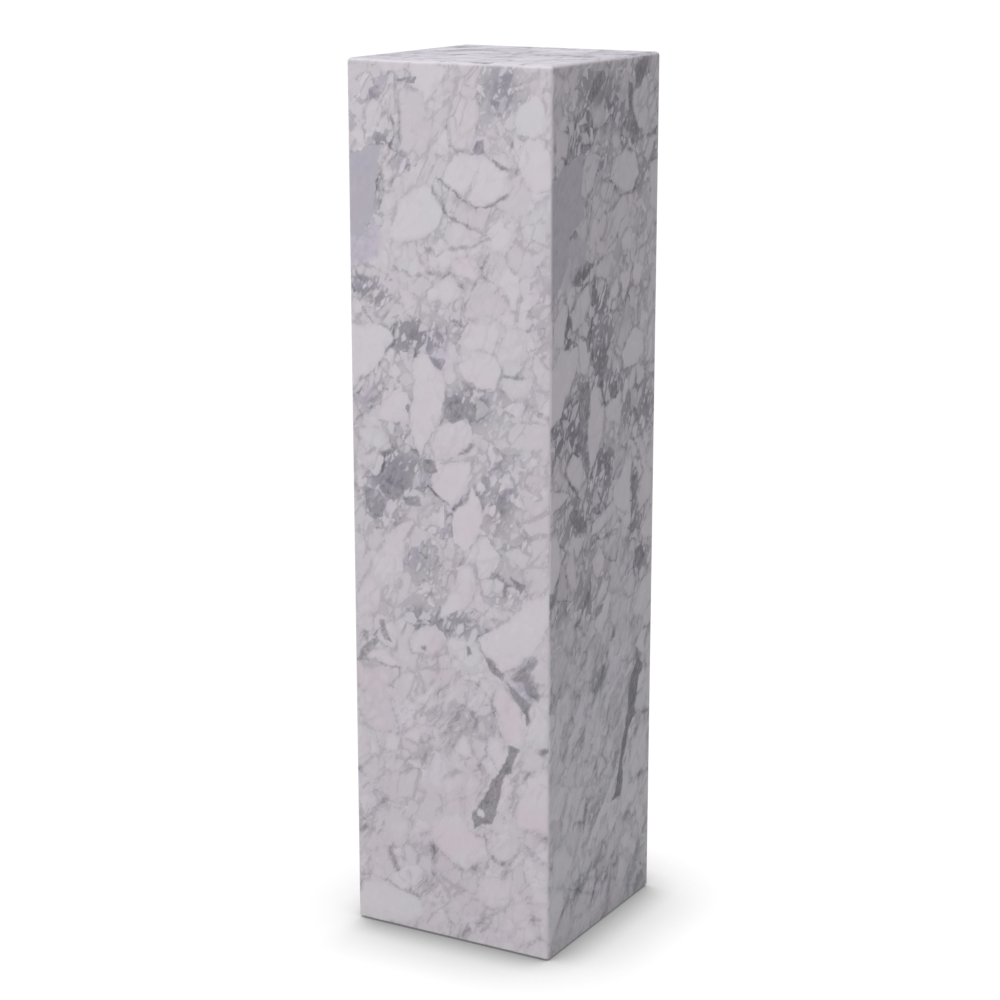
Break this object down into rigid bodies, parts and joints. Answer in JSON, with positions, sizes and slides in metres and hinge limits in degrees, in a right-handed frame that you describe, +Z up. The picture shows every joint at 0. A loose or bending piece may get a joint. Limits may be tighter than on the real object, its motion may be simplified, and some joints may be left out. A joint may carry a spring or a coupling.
{
  "type": "pedestal column stand",
  "caption": "Tall square pedestal stand, a hollow box of mitred breccia marble slabs on a timber core, with screw levellers hidden under its foot.",
  "frame": {"origin": "on the floor, under the middle of the column", "axes": "+Z up; the front slab faces -Y and the right slab +X"},
  "size_m": [0.254, 0.254, 1],
  "materials": {
    "marble": "honed breccia marble, white to lilac clasts in grey and violet matrix",
    "birch_plywood": "bare plywood",
    "softwood": "planed pine",
    "zinc_plated_steel": "bright zinc plate",
    "bright_steel": "turned steel",
    "nylon": "black moulded nylon"
  },
  "bodies": {
    "column": {"slab_front": "marble", "slab_right": "marble", "slab_back": "marble", "slab_left": "marble", "slab_top": "marble", "corner_post_front_right": "softwood", "corner_post_back_right": "softwood", "corner_post_back_left": "softwood", "corner_post_front_left": "softwood", "backer_board": "birch_plywood", "rib_board_lower": "birch_plywood", "rib_board_upper": "birch_plywood", "base_cleat_front": "softwood", "base_cleat_right": "softwood", "base_cleat_back": "softwood", "base_cleat_left": "softwood", "base_board": "birch_plywood", "base_screws": "zinc_plated_steel", "threaded_insert_front_right": "zinc_plated_steel", "threaded_insert_back_right": "zinc_plated_steel", "threaded_insert_back_left": "zinc_plated_steel", "threaded_insert_front_left": "zinc_plated_steel"},
    "foot_front_right": {"leveller_pad_front_right": "nylon"},
    "stud_front_right": {"leveller_stud_front_right": "bright_steel"},
    "foot_back_right": {"leveller_pad_back_right": "nylon"},
    "stud_back_right": {"leveller_stud_back_right": "bright_steel"},
    "foot_back_left": {"leveller_pad_back_left": "nylon"},
    "stud_back_left": {"leveller_stud_back_left": "bright_steel"},
    "foot_front_left": {"leveller_pad_front_left": "nylon"},
    "stud_front_left": {"leveller_stud_front_left": "bright_steel"}
  },
  "joints": [
    {"name": "leveller_lift_front_right", "type": "slide", "parent": "column", "child": "foot_front_right", "axis": [0, 0, -1], "range_m": [0, 0.01]},
    {"name": "leveller_turn_front_right", "type": "hinge", "parent": "foot_front_right", "child": "stud_front_right", "pos_m": [0.075, -0.075, 0.0088], "axis": [0, 0, -1], "range_deg": [0, 2880]},
    {"name": "leveller_lift_back_right", "type": "slide", "parent": "column", "child": "foot_back_right", "axis": [0, 0, -1], "range_m": [0, 0.01]},
    {"name": "leveller_turn_back_right", "type": "hinge", "parent": "foot_back_right", "child": "stud_back_right", "pos_m": [0.075, 0.075, 0.0088], "axis": [0, 0, -1], "range_deg": [0, 2880]},
    {"name": "leveller_lift_back_left", "type": "slide", "parent": "column", "child": "foot_back_left", "axis": [0, 0, -1], "range_m": [0, 0.01]},
    {"name": "leveller_turn_back_left", "type": "hinge", "parent": "foot_back_left", "child": "stud_back_left", "pos_m": [-0.075, 0.075, 0.0088], "axis": [0, 0, -1], "range_deg": [0, 2880]},
    {"name": "leveller_lift_front_left", "type": "slide", "parent": "column", "child": "foot_front_left", "axis": [0, 0, -1], "range_m": [0, 0.01]},
    {"name": "leveller_turn_front_left", "type": "hinge", "parent": "foot_front_left", "child": "stud_front_left", "pos_m": [-0.075, -0.075, 0.0088], "axis": [0, 0, -1], "range_deg": [0, 2880]}
  ],
  "couplings": [
    {"joint": "leveller_turn_front_right", "follows": "leveller_lift_front_right", "rad_per_m": 5026.5},
    {"joint": "leveller_turn_back_right", "follows": "leveller_lift_back_right", "rad_per_m": 5026.5},
    {"joint": "leveller_turn_back_left", "follows": "leveller_lift_back_left", "rad_per_m": 5026.5},
    {"joint": "leveller_turn_front_left", "follows": "leveller_lift_front_left", "rad_per_m": 5026.5}
  ]
}
